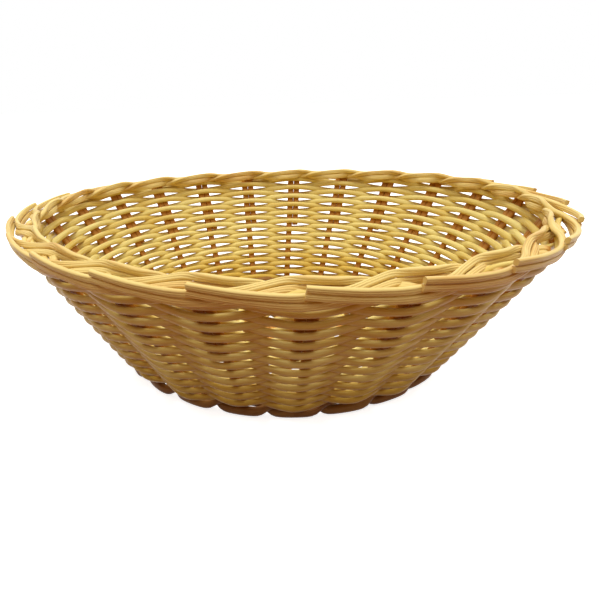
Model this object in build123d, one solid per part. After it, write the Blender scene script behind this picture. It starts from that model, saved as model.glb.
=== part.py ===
from build123d import *
import os
from math import cos, pi, radians, sin

# Round bread basket, open plain weave on upright stakes, with a plaited border.
# Millimetres. Z is up, the table is z = 0 and the axis of the bowl is the Z axis.

# Driving dimensions
stake_count = 23            # odd, so that each round of a weaver passes the stakes on the other side
row_count = 12              # weavers in the wall, each twice round
row_pitch = 5.0             # from weaver to weaver, along the slope of the wall
first_row_radius = 73.5     # stake line at the lowest row
first_row_height = 8.3
wall_lean = radians(32)     # lean of the wall from upright
rod_width = 3.0             # one stake or by-stake, along the wall
rod_thick = 1.8             # and through it
tip_width = 2.3             # its tapered upper end, in the border
weaver_high = 2.4           # one weaver, along the slope
weaver_thick = 2.3          # and through the wall
wrap_share = 0.19           # share of a step on each side of a stake where a weaver lies along it
pair_gap = 0.5              # between a stake and its by-stake in the wall
border_gap = 0.35           # and in the border
by_stake_row = 6            # by-stakes are pushed in beside the stakes from this row up
foot_radius = 69.5          # stake line at the corner of the foot
foot_height = 4.7
foot_cane = 3.6             # thicker cane of the foot, through the corner
foot_high = 2.6             # and along it
base_level = 4.3            # stakes and base sticks lie at this height
base_row_count = 5
base_row_radius = 22.0      # innermost row of the base
base_row_pitch = 8.6
base_weaver_width = 3.2
base_stick_width = 3.6
base_stick_thick = 2.2
butt_gap = 0.6              # between two weaver ends that butt at a stake

# Worked out from these
stake_step = 2 * pi / stake_count
arm_count = 12              # six base sticks, both ends
arm_step = 2 * pi / arm_count
top_row_slope = (row_count - 1) * row_pitch
top_row_radius = first_row_radius + top_row_slope * sin(wall_lean)
top_row_height = first_row_height + top_row_slope * cos(wall_lean)
weaver_reach = (rod_thick + weaver_thick) / 2 + 0.2
front = -pi / 2             # stake 1 stands at the front, on -Y
join_stake = 9              # the weavers of the wall start and end behind this stake

# Border route of one stake with its by-stake: steps to the left of its own place, then how far
# outside the top row, how far above it, and the lean of the pair towards the bowl in degrees.
border_route = (
    (0.07, 1.1, 3.5, 60),
    (0.22, 0.1, 4.0, 76),
    (0.45, -2.2, 4.7, 54),
    (0.75, -2.9, 5.5, 30),
    (1.02, -2.5, 6.5, 48),
    (1.20, -1.3, 6.6, 70),
    (1.42, 0.6, 5.3, 68),
    (1.70, 3.1, 4.1, 76),
    (2.10, 4.9, 3.9, 92),
    (2.50, 5.4, 5.6, 84),
    (3.05, 5.2, 6.4, 78),
)


def on_wall(slope, out=0.0):
    """Radius and height of a wall point: distance up the slope from row 1, and distance outside the stakes."""
    radius = first_row_radius + slope * sin(wall_lean) + out * cos(wall_lean)
    height = first_row_height + slope * cos(wall_lean) - out * sin(wall_lean)
    return radius, height


def around(radius, height, angle):
    """The point at this radius and height, at an angle counted from the front."""
    return Vector(radius * cos(front + angle), radius * sin(front + angle), height)


def four_sided(centre, across, through, width, thick):
    """Corners of a four-sided outline: width along one direction, thickness along the other."""
    a = across.normalized() * (width / 2)
    b = through.normalized() * (thick / 2)
    return [centre + a + b, centre - a + b, centre - a - b, centre + a - b]


def flat(*corners):
    """A flat face through these corners."""
    return Face(Wire.make_polygon(corners, close=True))


def rod(sections):
    """One solid that carries its outline from section to section. Each side is two flat faces, split
    the same way, so that neighbouring sides share their edges however much the rod turns."""
    faces = [flat(*sections[0]), flat(*sections[-1])]
    for near, far in zip(sections, sections[1:]):
        for i in range(4):
            k = (i + 1) % 4
            faces.append(flat(near[i], near[k], far[k]))
            faces.append(flat(near[i], far[k], far[i]))
    solid = Solid(Shell(faces))
    return solid if solid.volume > 0 else Solid(Shell([-face for face in faces]))


def woven_strand(place, passes, step, start, outside_first, reach, thick, high, climb=0.0, rise=0.0):
    """One weaver past so many stakes, in front of one and behind the next, its ends cut at a stake.

    place(out, up) gives the radius and height of a point out of the stakes' line and up along it. Climb
    is how far it winds up on its way, and rise twists it about a partner that takes the other sides.
    """
    cut = butt_gap / 2 / place(0, 0)[0] / step
    spots = [(cut, 0, 0), (wrap_share, 0, 1)]
    for k in range(1, passes):
        spots += [(k - wrap_share, k, -1), (k + wrap_share, k, 1)]
    spots += [(passes - wrap_share, passes, -1), (passes - cut, passes, 0)]
    sections = []
    for turn, stake_passed, slant in spots:
        side = (1 if outside_first else -1) * (-1) ** stake_passed
        out = side * reach
        up = climb * (turn / passes - 0.5) + side * rise * slant
        angle = start + turn * step
        centre = around(*place(out, up), angle)
        through = around(*place(out + 1, up), angle) - centre
        along = around(*place(out, up + 1), angle) - centre
        sections.append(four_sided(centre, along, through, high, thick))
    return rod(sections)


def wall_row(row):
    """A weaver of the wall: twice round, and with an odd number of stakes on opposite sides each time."""

    def place(out, up):
        return on_wall(row * row_pitch + up - 0.1, out)

    return woven_strand(place, 2 * stake_count, stake_step, join_stake * stake_step, True,
                        weaver_reach, weaver_thick, weaver_high, climb=row_pitch)


def foot_wale():
    """The thick twined row at the corner of the foot, flat underneath where it stands."""
    lean = (radians(90) + wall_lean) / 2
    reach = (rod_thick + foot_cane) / 2 + 0.45

    def place(out, up):
        radius = foot_radius + up * sin(lean) + out * cos(lean)
        return radius, foot_height + up * cos(lean) - out * sin(lean)

    strands = [
        woven_strand(place, stake_count, stake_step, 0, first, reach, foot_cane, foot_high,
                     rise=foot_high / 2 + 0.06)
        for first in (True, False)
    ]
    table = Pos(0, 0, -10) * Box(400, 400, 20)
    return Compound([s for strand in strands for s in (strand - table).solids()])


def base_row(index):
    """A twined row of the flat base, over and under the arms of the base sticks."""
    mean = base_row_radius + index * base_row_pitch
    reach = (base_stick_thick + weaver_thick) / 2 + 0.15

    def place(out, up):
        return mean + up, base_level - out

    start = (index * 5 % arm_count) * arm_step
    return Compound([
        woven_strand(place, arm_count, arm_step, start, first, reach, weaver_thick, base_weaver_width,
                     rise=base_weaver_width / 2 + 0.06)
        for first in (True, False)
    ])


def base_stick(group, index):
    """One of six base sticks: three lie across three at the middle and fan out into twelve arms."""
    offset = (index - 1) * (base_stick_width + 0.3)
    turn = group * pi / 2
    lift = (base_stick_thick / 2 + 0.15) * (1 if group else -1)
    end_radius = base_row_radius + (base_row_count - 1) * base_row_pitch + 4.5
    fan_radius = base_row_radius - 4
    half = [(0, offset, lift), (7, offset, lift)]
    fan = (index - 1) * arm_step
    for radius in (fan_radius, end_radius):
        half.append((radius * cos(fan), radius * sin(fan), 0))
    route = [(-x, y, z) for x, y, z in reversed(half[1:])] + half[1:]
    points = [Vector(x, y, base_level + z).rotate(Axis.Z, turn * 180 / pi) for x, y, z in route]
    up = Vector(0, 0, 1)
    sections = []
    for i, point in enumerate(points):
        ahead = points[min(i + 1, len(points) - 1)] - points[max(i - 1, 0)]
        sections.append(four_sided(point, ahead.cross(up), up, base_stick_width, base_stick_thick))
    return rod(sections)


def border_sections(angle, side):
    """Outlines of one rod of a pair along the border; side is +1 for the stake, -1 for its by-stake."""
    shift = side * (tip_width + border_gap) / 2
    spots = []
    for steps, out, above, lean in border_route:
        place = angle - steps * stake_step
        radius = top_row_radius + out
        height = top_row_height + above
        across = around(-sin(radians(lean)), 0, place) + Vector(0, 0, cos(radians(lean)))
        if steps < 0.1:
            tangent = around(1, 0, place + pi / 2)
            across = (across + tangent).normalized()
        spots.append((around(radius, height, place), across))
    sections = []
    for i, (point, across) in enumerate(spots):
        ahead = spots[min(i + 1, len(spots) - 1)][0] - spots[max(i - 1, 0)][0]
        across = (across - ahead * (across.dot(ahead) / ahead.dot(ahead))).normalized()
        through = across.cross(ahead)
        sections.append(four_sided(point + across * shift, across, through, tip_width, rod_thick))
    return sections


def upright_section(radius, height, angle, lean, side):
    """Outline of a rod in the wall or foot, across the rod's own direction."""
    tangent = around(1, 0, angle + pi / 2)
    through = around(cos(lean), 0, angle) - Vector(0, 0, sin(lean))
    centre = around(radius, height, angle) + tangent * (side * (rod_width + pair_gap) / 2)
    return four_sided(centre, tangent, through, rod_width, rod_thick)


def stake(index):
    """A stake: out from under the base, round the foot, up the wall and along the border."""
    angle = index * stake_step
    sections = [
        upright_section(foot_radius - 9.0, base_level, angle, radians(90), 1),
        upright_section(foot_radius - 3.5, base_level, angle, radians(90), 1),
        upright_section(foot_radius + 0.4, foot_height + 0.25, angle, (radians(90) + wall_lean) / 2, 1),
        upright_section(*on_wall(-2.0), angle, wall_lean, 1),
        upright_section(*on_wall(top_row_slope + 2.6), angle, wall_lean, 1),
    ]
    return rod(sections + border_sections(angle, 1))


def by_stake(index):
    """A by-stake: a second rod beside the stake in the upper rows, plaited into the border with it."""
    angle = index * stake_step
    sections = [
        upright_section(*on_wall((by_stake_row - 0.5) * row_pitch), angle, wall_lean, -1),
        upright_section(*on_wall(top_row_slope + 2.6), angle, wall_lean, -1),
    ]
    return rod(sections + border_sections(angle, -1))


os.makedirs("parts", exist_ok=True)
pieces = {}
for i in range(stake_count):
    pieces[f"stake_{i + 1:02d}"] = stake(i)
pieces["by_stakes"] = Compound([by_stake(i) for i in range(stake_count)])
for i in range(row_count):
    pieces[f"weave_row_{i + 1:02d}"] = wall_row(i)
pieces["foot_wale"] = foot_wale()
for group in range(2):
    for i in range(3):
        pieces[f"base_stick_{group * 3 + i + 1}"] = base_stick(group, i)
for i in range(base_row_count):
    pieces[f"base_weave_row_{i + 1}"] = base_row(i)

for name, shape in pieces.items():
    export_step(shape, f"parts/{name}.step")
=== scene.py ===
import bpy
import random
from math import cos, pi, radians, sin, tanh, tau
from mathutils import Matrix, Vector


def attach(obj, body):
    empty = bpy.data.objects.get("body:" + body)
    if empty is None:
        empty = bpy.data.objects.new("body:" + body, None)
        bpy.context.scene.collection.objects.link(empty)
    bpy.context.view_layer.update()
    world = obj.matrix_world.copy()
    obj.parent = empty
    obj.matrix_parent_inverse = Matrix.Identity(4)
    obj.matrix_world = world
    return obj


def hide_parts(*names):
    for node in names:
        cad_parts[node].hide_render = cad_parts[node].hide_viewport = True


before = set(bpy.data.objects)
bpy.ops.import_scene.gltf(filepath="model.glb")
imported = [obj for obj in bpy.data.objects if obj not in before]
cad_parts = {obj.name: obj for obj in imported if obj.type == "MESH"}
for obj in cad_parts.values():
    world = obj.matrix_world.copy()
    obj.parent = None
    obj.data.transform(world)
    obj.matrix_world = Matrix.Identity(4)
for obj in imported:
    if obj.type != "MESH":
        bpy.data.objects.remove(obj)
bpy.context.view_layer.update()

mm = 0.001
random.seed(23)

# The basket, in millimetres. Its front is on -Y, and stake 1 stands there.
front = -pi / 2
stake_count = 23
stake_step = tau / stake_count
side_pull = 2.6             # how much higher the rim is at both sides
side_pull_from = 15         # height at which this begins
side_pull_over = 48         # height over which it grows to the full

# Wall
row_count = 12
row_pitch = 5.0             # up the slope, of the rows that the stakes are laid out by
first_row_radius = 73.5
first_row_height = 8.3
wall_lean = radians(32)     # from upright
top_slope = (row_count - 1) * row_pitch
join_stake = 9              # the weavers start and end this many stakes round from the front

# Weavers of the wall, each twice round
weaver_pitch = 5.1
weaver_shift = 0.6          # of them all, up the slope
weaver_reach = 2.3          # from the stakes' line to the weaver's middle
weaver_thick = 2.1
weaver_high_at_stake = 2.6
weaver_high_at_cross = 3.0  # midway between two stakes

# Stakes and by-stakes
rod_width = 3.3
rod_thick = 1.8
pair_gap = 0.1              # between a stake and its by-stake
by_stake_row = 6            # by-stakes begin at this row
bend_slope = 2.6            # above the top row, where they bend into the border
stake_inset = 12.0          # a stake starts this far inside the foot
corner_inset = 3.5          # and begins to turn up here

# Border
tip_width = 2.3
border_gap = 0.25           # between the two rods of a pair
tip_steps = 2               # from this many steps on a rod thins out, and rises or sinks
tip_taper = 0.2             # share of its width lost for each step more
tip_lift = -0.4             # rise for each step more, half way round
tip_lift_front = 1.4        # added to that at the front, and taken off at the back

# Foot
foot_radius = 69.5
foot_height = 4.7
foot_reach = 1.9
foot_thick = 3.6
foot_high_at_stake = 4.6
foot_high_at_cross = 3.6
foot_twist = 1.3            # of its two canes about each other
foot_out = 0.8              # of both, outside the stakes' line

# Base
base_level = 4.3            # base sticks and stake ends lie at this height
base_row_count = 5
base_row_radius = 22.0
base_row_pitch = 9.3
base_reach = 2.3
base_thick = 2.3
base_high_at_stick = 4.4
base_high_at_cross = 3.6
base_twist = 1.9
base_start_arms = 5         # each row starts this many arms on from the row inside it
arm_count = 12              # six sticks, both ends
arm_step = tau / arm_count
stick_width = 3.6
stick_thick = 2.2
stick_pitch = 3.9           # of the three that lie side by side in the middle
stick_lift = 1.25           # three lie this much above the base's level, three below
stick_cross = 7             # half the length that lies straight in the middle
stick_fan_radius = base_row_radius - 4
stick_overhang = 4.5        # past the middle of the outermost row
stick_end_radius = base_row_radius + (base_row_count - 1) * base_row_pitch + stick_overhang

# Depth of colour, added to a cane's own random tone. On the stakes in the wall and on the lower rows of
# the wall it is painted shade
# Painted shade: the stakes are darkened all up the wall for the shade between the weavers, and made paler
# in the border
upright_shade = 2.0
border_depth = -0.7
stick_depth = 1.0
# Painted shade: the lowest rows of the wall are darkened, less for each row up, for the shade near the
# floor
lowest_row_shade = 1.6
row_shade_loss = 0.45       # for each row up the wall

# Border route of a stake and its by-stake: steps to the left of its own place, millimetres outside
# and above the top row, and the lean of the pair towards the bowl in degrees
border_route = (
    (0.07, 1.1, 3.5, 60),
    (0.22, 0.1, 4.0, 76),
    (0.45, -2.2, 4.7, 34),
    (0.75, -2.9, 5.3, -16),
    (1.02, -2.5, 5.8, -4),
    (1.20, -1.3, 6.1, 44),
    (1.42, 0.6, 5.3, 56),
    (1.70, 3.6, 4.3, 30),
    (2.10, 5.5, 3.8, -6),
    (2.50, 6.3, 4.5, -14),
    (2.80, 6.6, 5.2, -12),
    (3.05, 6.5, 5.7, -8),
)


# Places on the basket

def around(radius, height, angle):
    """The point at this radius and height, at an angle counted from the front.

    The rim is pulled up at both sides.
    """
    pull = side_pull * sin(angle) ** 2 * max(height - side_pull_from, 0) / side_pull_over
    return Vector((radius * cos(front + angle), radius * sin(front + angle), height + pull))


def on_wall(slope, out=0.0):
    """Radius and height of a wall point, from its distance up the slope and outside the stakes."""
    radius = first_row_radius + slope * sin(wall_lean) + out * cos(wall_lean)
    return radius, first_row_height + slope * cos(wall_lean) - out * sin(wall_lean)


# Outlines of the canes, as points from -1 to 1

def round_outline(points=12):
    """A round cane, or an oval one where its width and thickness differ."""
    return [(cos(tau * i / points), sin(tau * i / points)) for i in range(points)]


def ribbed_outline(ribs=3, points_per_rib=4, depth=0.16):
    """A flat rod with ribs along both of its faces and rounded edges."""
    top = []
    for i in range(ribs * points_per_rib + 1):
        share = i / (ribs * points_per_rib)
        ridge = abs(sin(pi * share * ribs))
        crown = 1 - 0.35 * abs(2 * share - 1) ** 3
        top.append((0.94 * (1 - 2 * share), crown * (1 - depth + depth * ridge)))
    edge = [(-1.0, 0.2), (-1.0, -0.2)]
    return top + edge + [(-a, -b) for a, b in top] + [(-a, -b) for a, b in edge]


# Meshes of the canes

def smooth_route(stations, pieces=5):
    """Stations of a route, with more between them on a smooth curve through each one."""
    route = []
    for i in range(len(stations) - 1):
        before = stations[max(i - 1, 0)]
        start, end = stations[i], stations[i + 1]
        after = stations[min(i + 2, len(stations) - 1)]
        for k in range(pieces):
            t = k / pieces
            route.append(tuple(
                ((2 * b + (c - a) * t + (2 * a - 5 * b + 4 * c - d) * t * t
                  + (3 * b - a - 3 * c + d) * t * t * t) / 2)
                for a, b, c, d in zip(before, start, end, after)))
    return route + [stations[-1]]


def direction_at(route, i):
    """The way a route runs at one of its stations, from the one before to the one after."""
    return route[min(i + 1, len(route) - 1)][0] - route[max(i - 1, 0)][0]


def square_to(across, ahead):
    """The part of a direction that stands square to another one, of length 1."""
    return (across - ahead * (across.dot(ahead) / ahead.dot(ahead))).normalized()


def cane_mesh(name, routes, outline):
    """One object from one or more canes.

    A route lists (centre, half the width, half the thickness, depth of colour).
    """
    points, faces, uvs, tones_and_shades = [], [], [], []
    count = len(outline)
    for route in routes:
        first = len(points)
        length = 0.0
        lengths = []
        tone = random.random()
        for i, (centre, across, through, depth) in enumerate(route):
            if i:
                length += (centre - route[i - 1][0]).length
            lengths.append(length * mm)
            points += [(centre + across * a + through * b) * mm for a, b in outline]
            tones_and_shades += [tone + depth] * count
        for i in range(len(route) - 1):
            low, high = first + i * count, first + (i + 1) * count
            for k in range(count):
                n = (k + 1) % count
                faces.append((low + k, low + n, high + n, high + k))
                uvs += [(lengths[i], k / count), (lengths[i], (k + 1) / count),
                        (lengths[i + 1], (k + 1) / count), (lengths[i + 1], k / count)]
        last = first + (len(route) - 1) * count
        faces.append(tuple(first + k for k in reversed(range(count))))
        faces.append(tuple(last + k for k in range(count)))
        uvs += [(0, 0)] * (2 * count)
    mesh = bpy.data.meshes.new(name)
    mesh.from_pydata(points, [], faces)
    layer = mesh.uv_layers.new(name="UVMap")
    for loop, uv in zip(layer.data, uvs):
        loop.uv = uv
    # The tone holds each cane's random tone with the painted shade added to it
    attribute = mesh.attributes.new("tone", "FLOAT", "POINT")
    attribute.data.foreach_set("value", tones_and_shades)
    piece = bpy.data.objects.new(name, mesh)
    bpy.context.collection.objects.link(piece)
    bpy.ops.object.select_all(action="DESELECT")
    piece.select_set(True)
    bpy.context.view_layer.objects.active = piece
    bpy.ops.object.mode_set(mode="EDIT")
    bpy.ops.mesh.select_all(action="SELECT")
    bpy.ops.mesh.normals_make_consistent(inside=False)
    bpy.ops.object.mode_set(mode="OBJECT")
    bpy.ops.object.shade_smooth_by_angle(angle=radians(50))
    return piece


def finish(piece, node, material):
    """Puts a piece in its node's place, with its finish."""
    piece.data.materials.append(material)
    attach(piece, "root")
    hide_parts(node)


# Weavers

def woven_route(place, passes, step, start, side, reach, thick, high_at_stake, high_at_cross,
                climb=0.0, rise=0.0, depth=0.0, middle=0.0, sharp=0.0):
    """One weaver past so many stakes, in front of one and behind the next.

    place(out, up) gives the radius and height of a point out of the stakes' line and up along it.
    Climb is how far it winds up on its way, and rise twists it about a partner that takes the other
    sides. Middle moves it outwards as a whole, and sharp makes it change sides within a shorter way.
    """
    per_step = 12
    steepness = 2.5
    phase = random.random() * tau
    route = []
    for i in range(passes * per_step + 1):
        turn = i / per_step
        swing = cos(pi * turn)
        soft_sway = 0.85 * swing + 0.15 * swing ** 3
        sway = (1 - sharp) * soft_sway + sharp * tanh(steepness * swing) / tanh(steepness)
        out = middle + side * reach * sway
        unevenness = 0.1 * sin(turn * 2.1 + phase)
        up = climb * (turn / passes - 0.5) + side * rise * sin(pi * turn) + unevenness
        angle = start + turn * step
        centre = around(*place(out, up), angle)
        through = (around(*place(out + 1, up), angle) - centre).normalized()
        along = (around(*place(out, up + 1), angle) - centre).normalized()
        high = high_at_cross + (high_at_stake - high_at_cross) * swing * swing
        route.append((centre, along * (high / 2), through * (thick / 2), depth))
    return route


def wall_row(row):
    """A weaver of the wall. The number of stakes is odd, so it takes the other sides the second time."""

    def place(out, up):
        return on_wall(row * weaver_pitch + up + weaver_shift, out)

    # Painted shade near the floor: the lower the row, the darker its cane
    depth = max(lowest_row_shade - row_shade_loss * row, 0.0)
    return [woven_route(place, 2 * stake_count, stake_step, join_stake * stake_step, 1,
                        weaver_reach, weaver_thick, weaver_high_at_stake, weaver_high_at_cross,
                        climb=weaver_pitch, depth=depth)]


def foot_wale():
    """The two thick canes twined round the corner of the foot."""
    lean = (radians(90) + wall_lean) / 2

    def place(out, up):
        radius = foot_radius + up * sin(lean) + out * cos(lean)
        return radius, foot_height + up * cos(lean) - out * sin(lean)

    return [woven_route(place, stake_count, stake_step, 0, side,
                        foot_reach, foot_thick, foot_high_at_stake, foot_high_at_cross,
                        rise=foot_twist, middle=foot_out, sharp=1.0)
            for side in (1, -1)]


def base_row(index):
    """A twined row of the base, over and under the arms of the base sticks."""
    mean = base_row_radius + index * base_row_pitch
    start = (index * base_start_arms % arm_count) * arm_step

    def place(out, up):
        return mean + up, base_level - out

    return [woven_route(place, arm_count, arm_step, start, side,
                        base_reach, base_thick, base_high_at_stick, base_high_at_cross,
                        rise=base_twist)
            for side in (1, -1)]


# Stakes, by-stakes and the border

def upright(radius, height, angle, side):
    """A station of a rod in the wall or foot: centre, direction across, width, depth of colour, which
    here is painted shade.
    """
    tangent = around(1, 0, angle + pi / 2)
    centre = around(radius, height, angle) + tangent * (side * (rod_width + pair_gap) / 2)
    return centre, tangent, rod_width, upright_shade


def border(angle, side):
    """Stations of one rod of a pair along the border; side is 1 for the stake, -1 for its by-stake."""
    top_radius, top_height = on_wall(top_slope)
    spots = []
    for steps, out, above, lean in border_route:
        place = angle - steps * stake_step
        across = around(-sin(radians(lean)), cos(radians(lean)), place)
        if steps < 0.1:
            across = (across + around(1, 0, place + pi / 2)).normalized()
        tip = max(steps - tip_steps, 0)
        width = tip_width * (1 - tip_taper * tip)
        # Cut ends stand up at the front and lie lower at the back
        lift = (tip_lift_front * cos(place) + tip_lift) * tip
        spots.append((around(top_radius + out, top_height + above + lift, place), across, width))
    stations = []
    for i, (centre, across, width) in enumerate(spots):
        across = square_to(across, direction_at(spots, i))
        beside = across * (side * (width + border_gap) / 2)
        stations.append((centre + beside, across, width, border_depth))
    return stations


def rod_route(stations):
    """A rod's route from its stations, its flat kept across the direction of each."""
    route = []
    fine = smooth_route(stations)
    for i, (centre, across, width, depth) in enumerate(fine):
        ahead = direction_at(fine, i)
        across = square_to(across, ahead)
        through = ahead.cross(across).normalized()
        route.append((centre, across * (width / 2), through * (rod_thick / 2), depth))
    return route


def wall_stations(angle, side, from_row):
    """Stations of a rod up the wall, at every second row and where it bends into the border."""
    stations = []
    for row in range(from_row, row_count, 2):
        stations.append(upright(*on_wall(row * row_pitch), angle, side))
    stations.append(upright(*on_wall(top_slope + bend_slope), angle, side))
    return stations


def stake(index):
    """A stake: out from the base, round the foot, up the wall and along the border."""
    angle = index * stake_step
    foot = [upright(foot_radius - stake_inset, base_level, angle, 1),
            upright(foot_radius - corner_inset, base_level, angle, 1),
            upright(foot_radius + 0.4, foot_height + 0.25, angle, 1)]
    return rod_route(foot + wall_stations(angle, 1, 0) + border(angle, 1))


def by_stake(index):
    """A by-stake: beside its stake in the upper rows, and along the border with it."""
    angle = index * stake_step
    return rod_route(wall_stations(angle, -1, by_stake_row) + border(angle, -1))


def base_stick(group, index):
    """A base stick: three lie across three in the middle and fan out into the arms."""
    offset = (index - 1) * stick_pitch
    lift = stick_lift if group else -stick_lift
    fan = (index - 1) * arm_step
    half = [Vector((stick_cross, offset, lift))]
    middle_radius = (base_row_radius + stick_end_radius) / 2
    for radius in (stick_fan_radius, middle_radius, stick_end_radius):
        half.append(Vector((radius * cos(fan), radius * sin(fan), 0)))
    points = [Vector((-p.x, p.y, p.z)) for p in reversed(half)] + half
    stations = []
    for p in points:
        x, y = (-p.y, p.x) if group else (p.x, p.y)
        stations.append((Vector((x, y, p.z + base_level)),))
    route = []
    fine = smooth_route(stations)
    for i, (centre,) in enumerate(fine):
        ahead = direction_at(fine, i)
        across = ahead.cross(Vector((0, 0, 1))).normalized()
        through = across.cross(ahead).normalized()
        route.append((centre, across * (stick_width / 2), through * (stick_thick / 2), stick_depth))
    return route


# Materials

def value_node(tree, operation, first, second):
    """A Math node; each input is a number or an output to follow."""
    node = tree.nodes.new("ShaderNodeMath")
    node.operation = operation
    for socket, value in zip(node.inputs, (first, second)):
        if isinstance(value, (int, float)):
            socket.default_value = value
        else:
            tree.links.new(value, socket)
    return node.outputs[0]


def noise(tree, vector, scale, detail):
    """A noise texture that follows these coordinates."""
    node = tree.nodes.new("ShaderNodeTexNoise")
    node.inputs["Scale"].default_value = scale
    node.inputs["Detail"].default_value = detail
    tree.links.new(vector, node.inputs["Vector"])
    return node.outputs["Fac"]


def cane_grain_group():
    """Shared grain of peeled cane: streaks along it, blotches, and a tone for each cane, with painted
    shade added to the tone on some canes.
    """
    group = bpy.data.node_groups.new("cane_grain", "ShaderNodeTree")
    group.interface.new_socket("Light", in_out="INPUT", socket_type="NodeSocketColor")
    group.interface.new_socket("Deep", in_out="INPUT", socket_type="NodeSocketColor")
    group.interface.new_socket("Roughness", in_out="INPUT", socket_type="NodeSocketFloat")
    group.interface.new_socket("Color", in_out="OUTPUT", socket_type="NodeSocketColor")
    group.interface.new_socket("Roughness", in_out="OUTPUT", socket_type="NodeSocketFloat")
    group.interface.new_socket("Normal", in_out="OUTPUT", socket_type="NodeSocketVector")
    nodes, links = group.nodes, group.links
    given = nodes.new("NodeGroupInput")
    result = nodes.new("NodeGroupOutput")
    coordinates = nodes.new("ShaderNodeTexCoord")
    along = nodes.new("ShaderNodeMapping")
    along.inputs["Scale"].default_value = (60.0, 14.0, 1.0)
    links.new(coordinates.outputs["UV"], along.inputs["Vector"])
    streaks = noise(group, along.outputs["Vector"], 1.0, 4.0)
    blotches = noise(group, coordinates.outputs["Object"], 55.0, 2.0)
    # Random tone of each cane, with painted shade added on some canes
    tone = nodes.new("ShaderNodeAttribute")
    tone.attribute_name = "tone"
    depth = value_node(group, "MULTIPLY", tone.outputs["Fac"], 0.35)
    depth = value_node(group, "ADD", depth, streaks)
    depth = value_node(group, "ADD", depth, value_node(group, "MULTIPLY", blotches, 0.6))
    share = nodes.new("ShaderNodeMapRange")
    share.inputs["From Min"].default_value = 0.7
    share.inputs["From Max"].default_value = 1.3
    links.new(depth, share.inputs["Value"])
    blend = nodes.new("ShaderNodeMix")
    blend.data_type = "RGBA"
    links.new(share.outputs["Result"], blend.inputs["Factor"])
    links.new(given.outputs["Light"], blend.inputs["A"])
    links.new(given.outputs["Deep"], blend.inputs["B"])
    links.new(blend.outputs["Result"], result.inputs["Color"])
    gloss = value_node(group, "MULTIPLY", streaks, 0.2)
    gloss = value_node(group, "ADD", gloss, given.outputs["Roughness"])
    links.new(gloss, result.inputs["Roughness"])
    bump = nodes.new("ShaderNodeBump")
    bump.inputs["Strength"].default_value = 0.12
    bump.inputs["Distance"].default_value = 0.0004
    links.new(streaks, bump.inputs["Height"])
    links.new(bump.outputs["Normal"], result.inputs["Normal"])
    return group


cane_grain = cane_grain_group()


def cane_material(name, light, deep, roughness):
    """Varnished cane with the shared grain, in two given colours; where painted shade is added to the
    tone, the deep one takes over.
    """
    material = bpy.data.materials.new(name)
    material.use_nodes = True
    nodes, links = material.node_tree.nodes, material.node_tree.links
    shader = nodes["Principled BSDF"]
    shader.inputs["Coat Weight"].default_value = 0.14
    shader.inputs["Coat Roughness"].default_value = 0.32
    shader.inputs["Specular IOR Level"].default_value = 0.06
    grain = nodes.new("ShaderNodeGroup")
    grain.node_tree = cane_grain
    grain.inputs["Light"].default_value = (*light, 1)
    grain.inputs["Deep"].default_value = (*deep, 1)
    grain.inputs["Roughness"].default_value = roughness
    links.new(grain.outputs["Color"], shader.inputs["Base Color"])
    links.new(grain.outputs["Roughness"], shader.inputs["Roughness"])
    links.new(grain.outputs["Normal"], shader.inputs["Normal"])
    return material


weaver_cane = cane_material("weaver_cane", (0.88, 0.76, 0.29), (0.69, 0.47, 0.085), 0.28)
# Its deep colour shows on the stakes in the wall as painted shade; the border shows more of the light one
stake_cane = cane_material("stake_cane", (0.84, 0.66, 0.25), (0.62, 0.29, 0.055), 0.30)
# Painted shade: the foot's canes are the wall's cane darkened to a deep brown, for the shade near the
# floor
foot_cane = cane_material("foot_cane", (0.34, 0.17, 0.042), (0.22, 0.085, 0.017), 0.36)


# The basket

def weaver_piece(node, routes):
    """A piece of round, pale cane."""
    finish(cane_mesh(f"{node}_cane", routes, round_outline()), node, weaver_cane)


def rod_piece(node, routes):
    """A piece of flat, ribbed cane."""
    finish(cane_mesh(f"{node}_cane", routes, ribbed_outline()), node, stake_cane)


for row in range(row_count):
    weaver_piece(f"weave_row_{row + 1:02d}", wall_row(row))
finish(cane_mesh("foot_wale_cane", foot_wale(), round_outline()), "foot_wale", foot_cane)
for index in range(base_row_count):
    weaver_piece(f"base_weave_row_{index + 1}", base_row(index))
for index in range(stake_count):
    rod_piece(f"stake_{index + 1:02d}", [stake(index)])
rod_piece("by_stakes", [by_stake(index) for index in range(stake_count)])
for group in range(2):
    for index in range(3):
        rod_piece(f"base_stick_{group * 3 + index + 1}", [base_stick(group, index)])

# Floor, light and camera

bpy.ops.object.select_all(action="DESELECT")
bpy.ops.mesh.primitive_plane_add(size=8, location=(0, 0, 0))
floor = bpy.context.object
floor.name = "floor"


def seen_directly(tree):
    """1 for a ray from the camera, also by way of a mirror or glass, else 0."""
    path = tree.nodes.new("ShaderNodeLightPath")
    seen = value_node(tree, "ADD", path.outputs["Is Camera Ray"], path.outputs["Is Glossy Ray"])
    seen = value_node(tree, "ADD", seen, path.outputs["Is Transmission Ray"])
    return value_node(tree, "MINIMUM", seen, 1.0)


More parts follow.
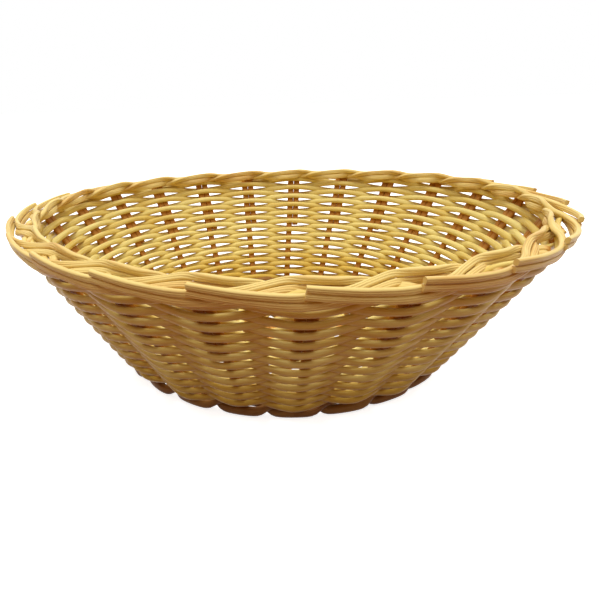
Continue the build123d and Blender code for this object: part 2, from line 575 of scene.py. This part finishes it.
def white_paper():
    """The floor: white with the basket's shadow where it is seen, and a warm bounce on the basket."""
    paper = bpy.data.materials.new("white_paper")
    paper.use_nodes = True
    tree = paper.node_tree
    tree.nodes.clear()
    output = tree.nodes.new("ShaderNodeOutputMaterial")
    bounce = tree.nodes.new("ShaderNodeBsdfDiffuse")
    bounce.inputs["Color"].default_value = (0.21, 0.064, 0.008, 1)
    white = tree.nodes.new("ShaderNodeEmission")
    white.inputs["Strength"].default_value = 0.8
    matt = tree.nodes.new("ShaderNodeBsdfDiffuse")
    matt.inputs["Color"].default_value = (0.8, 0.8, 0.8, 1)
    seen = tree.nodes.new("ShaderNodeAddShader")
    pick = tree.nodes.new("ShaderNodeMixShader")
    tree.links.new(matt.outputs["BSDF"], seen.inputs[0])
    tree.links.new(white.outputs["Emission"], seen.inputs[1])
    tree.links.new(seen_directly(tree), pick.inputs["Fac"])
    tree.links.new(bounce.outputs["BSDF"], pick.inputs[1])
    tree.links.new(seen.outputs["Shader"], pick.inputs[2])
    tree.links.new(pick.outputs["Shader"], output.inputs["Surface"])
    return paper


def studio():
    """The world: white where it is seen. Its light is white from above and dim and warm from the side."""
    world = bpy.data.worlds.new("studio")
    world.use_nodes = True
    tree = world.node_tree
    tree.nodes.clear()
    output = tree.nodes.new("ShaderNodeOutputWorld")
    fill = tree.nodes.new("ShaderNodeBackground")
    direction = tree.nodes.new("ShaderNodeTexCoord")
    split = tree.nodes.new("ShaderNodeSeparateXYZ")
    height = tree.nodes.new("ShaderNodeMapRange")
    height.inputs["From Min"].default_value = 0.36
    height.inputs["From Max"].default_value = 0.86
    sky = tree.nodes.new("ShaderNodeMix")
    sky.data_type = "RGBA"
    sky.inputs["A"].default_value = (0.20, 0.098, 0.018, 1)
    sky.inputs["B"].default_value = (1.66, 1.62, 1.54, 1)
    tree.links.new(direction.outputs["Generated"], split.inputs["Vector"])
    tree.links.new(split.outputs["Z"], height.inputs["Value"])
    tree.links.new(height.outputs["Result"], sky.inputs["Factor"])
    tree.links.new(sky.outputs["Result"], fill.inputs["Color"])
    backdrop = tree.nodes.new("ShaderNodeBackground")
    backdrop.inputs["Color"].default_value = (1, 1, 1, 1)
    backdrop.inputs["Strength"].default_value = 1.0
    pick = tree.nodes.new("ShaderNodeMixShader")
    tree.links.new(seen_directly(tree), pick.inputs["Fac"])
    tree.links.new(fill.outputs["Background"], pick.inputs[1])
    tree.links.new(backdrop.outputs["Background"], pick.inputs[2])
    tree.links.new(pick.outputs["Shader"], output.inputs["Surface"])
    return world


def soft_lamp(name, place, target, size, power):
    """A round lamp, turned to its target."""
    data = bpy.data.lights.new(name, "AREA")
    data.shape = "DISK"
    data.size = size
    data.energy = power
    lamp = bpy.data.objects.new(name, data)
    lamp.location = place
    lamp.rotation_euler = (Vector(target) - Vector(place)).to_track_quat("-Z", "Y").to_euler()
    bpy.context.collection.objects.link(lamp)


floor.data.materials.append(white_paper())
bpy.context.scene.world = studio()
soft_lamp("overhead", (0.0, 0.02, 0.80), (0, 0, 0.03), 0.25, 1.6)

# The photograph is taken as a cut from a wider picture, with its middle off the lens's axis
photo_size = 599
focal_pixels = 517
axis_pixel = (238.9, 380.2)
camera_turn, camera_dip, camera_roll = radians(1.35), radians(29.25), radians(-2.02)
sensor_width = 36
camera_data = bpy.data.cameras.new("camera")
camera_data.sensor_width = sensor_width
camera_data.lens = sensor_width * focal_pixels / photo_size
camera_data.shift_x = 0.5 - axis_pixel[0] / photo_size
camera_data.shift_y = axis_pixel[1] / photo_size - 0.5
camera_data.clip_start = 0.01
camera = bpy.data.objects.new("camera", camera_data)
camera.location = (-0.0156, -0.2289, 0.1050)
camera.rotation_euler = (Matrix.Rotation(camera_turn, 3, "Z")
                         @ Matrix.Rotation(pi / 2 - camera_dip, 3, "X")
                         @ Matrix.Rotation(camera_roll, 3, "Z")).to_euler()
bpy.context.collection.objects.link(camera)
bpy.context.scene.camera = camera
bpy.context.scene.view_settings.view_transform = "Standard"
